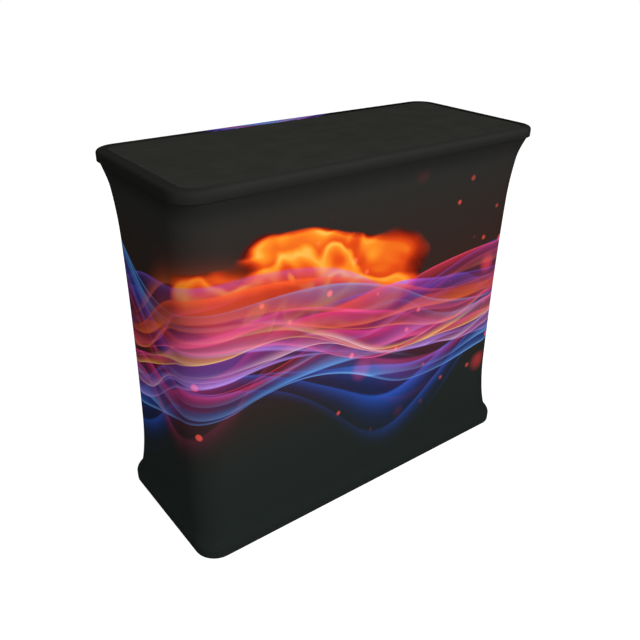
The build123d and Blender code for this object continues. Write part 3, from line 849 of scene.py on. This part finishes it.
opening_seams = []
for seam_name, seam_lift in (
    ("tape_stitches_outside", tape_half),
    ("tape_stitches_inside", -tape_half),
):
    seam_work = rounded_ring(opening_width, opening_height, opening_corner,
                             step=stitch_pitch, corner_steps=36)
    for point in seam_work.verts:
        point.co = on_opening(point.co, 0.0)
        point.co.y = rear_face(point.co.z) - cloth_thick / 2 + seam_lift
    opening_seams.append(stitched(seam_name, seam_work, "base"))

for soft in (sleeve, tape, *opening_seams):
    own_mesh(soft)

# Base band: the foot of the cover, the same printed cloth. It is drawn down round the base
# board's edge, rolled under it and pressed on to the hook tape, with a sewn hem at its end.
band_rows = [(0.0400, 0.0028), (0.0390, 0.0026), (0.0300, 0.0025), (0.0200, 0.0025),
             (0.0100, 0.0025), (0.0030, 0.0025), (0.0018, 0.0028), (0.0008, 0.0036),
             (0.0002, 0.0046), (0.0006, 0.0056), (0.0011, 0.0065), (0.0006, 0.0076),
             (0.0001, 0.0092), (0.0, 0.0130), (0.0, 0.0180), (0.0, base_seam)]
band_run = with_lengths(band_rows, 0.0)
band_shift = base_seam - band_run[-1][2]
band_rows = [(inset, height, run + band_shift) for inset, height, run in band_run]
base_band = placed("base_band", made_mesh("base_band", round_plan(band_rows)))
clothed(base_band)
smoothed(thickened(base_band, cloth_thick, material_offset=1))
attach(base_band, "base")
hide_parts("cover_base_band")


def plan_stitches(name, inset, height, body):
    """A row of stitches right round the cover at one inset and height."""
    work = rounded_ring(cover_width, cover_depth, cover_corner,
                        step=stitch_pitch, corner_steps=26)
    for point in work.verts:
        point.co = drawn_plan(point.co.x, point.co.y, inset, height, inside_corner(inset))
    return stitched(name, work, body)


hem_stitches = plan_stitches("hem_stitches", inset=0.0340, height=0.0025,
                             body="base")

# Rim band: the printed cloth goes on up over the worktop's rounded edge to a raised seam 28 mm
# in from it, where it is sewn to the top panel.
rim_top, rim_round, rim_steps = 0.9494, 0.008, 6
rim_rows = [(0.0, rim_seam), (0.0, 0.9275), (0.0, 0.9310), (0.0, 0.9365)]
for i in range(rim_steps + 1):
    angle = pi / 2 * i / rim_steps
    rim_rows.append((rim_round * (1 - cos(angle)), rim_top - rim_round * (1 - sin(angle))))
rim_rows += [(0.0140, 0.9494), (0.0200, 0.9494), (0.0225, 0.94945), (0.0245, 0.9496),
             (0.0258, 0.9497), (0.0268, 0.9497), (0.0276, 0.9494), (0.0282, 0.9490)]
rim_rows = with_lengths(rim_rows, sleeve_rows[-1][2])
rim_band = placed("rim_band", made_mesh("rim_band", round_plan(rim_rows)))
clothed(rim_band)
smoothed(thickened(rim_band, rim_cloth_thick, material_offset=1))
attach(rim_band, "top")
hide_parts("cover_top")

# Top panel: plain charcoal stretch knit drawn flat over the worktop, with faint pulls along it.
# Its sewn edge sits just inside the seam's ridge, with one row of top stitching.
panel_rows = [(0.0284, 0.9489), (0.0288, 0.9491), (0.0298, 0.9493), (0.0316, 0.94935),
              (0.0345, 0.94935), (0.0400, 0.94935), (0.0500, 0.94935)]
panel_work = round_plan(with_lengths(panel_rows, 0.0), capped=True)
top_panel = placed("top_panel", made_mesh("top_panel", panel_work))
charcoal, tree, shader, place = finish(
    "charcoal_knit", (0.026, 0.026, 0.023), 0.90, Specular_IOR_Level=0.0)
charcoal_cloud = noise(tree, place, 14.0, 4.0, 0.6)
charcoal_pulls = noise(tree, spread(tree, place, (2.0, 70.0, 1.0)), 2.0, 3.0, 0.6)
charcoal_mix = maths(tree, "MULTIPLY_ADD", charcoal_pulls, 0.5,
                     maths(tree, "MULTIPLY", charcoal_cloud, 0.5))
charcoal_share = between(tree, charcoal_mix, 0.3, 0.7)
mottled(tree, shader, charcoal_share, (0.022, 0.022, 0.0195), (0.032, 0.032, 0.029))
charcoal_axes = node(tree, "SeparateXYZ", {"Vector": place}).outputs
knit(tree, shader, charcoal_axes["X"], charcoal_axes["Y"], knit_depth)
top_panel.data.materials.append(charcoal)
smoothed(thickened(top_panel, rim_cloth_thick))
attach(top_panel, "top")
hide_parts("cover_top")
panel_stitches = plan_stitches("panel_stitches", inset=0.0322, height=0.9495,
                               body="top")
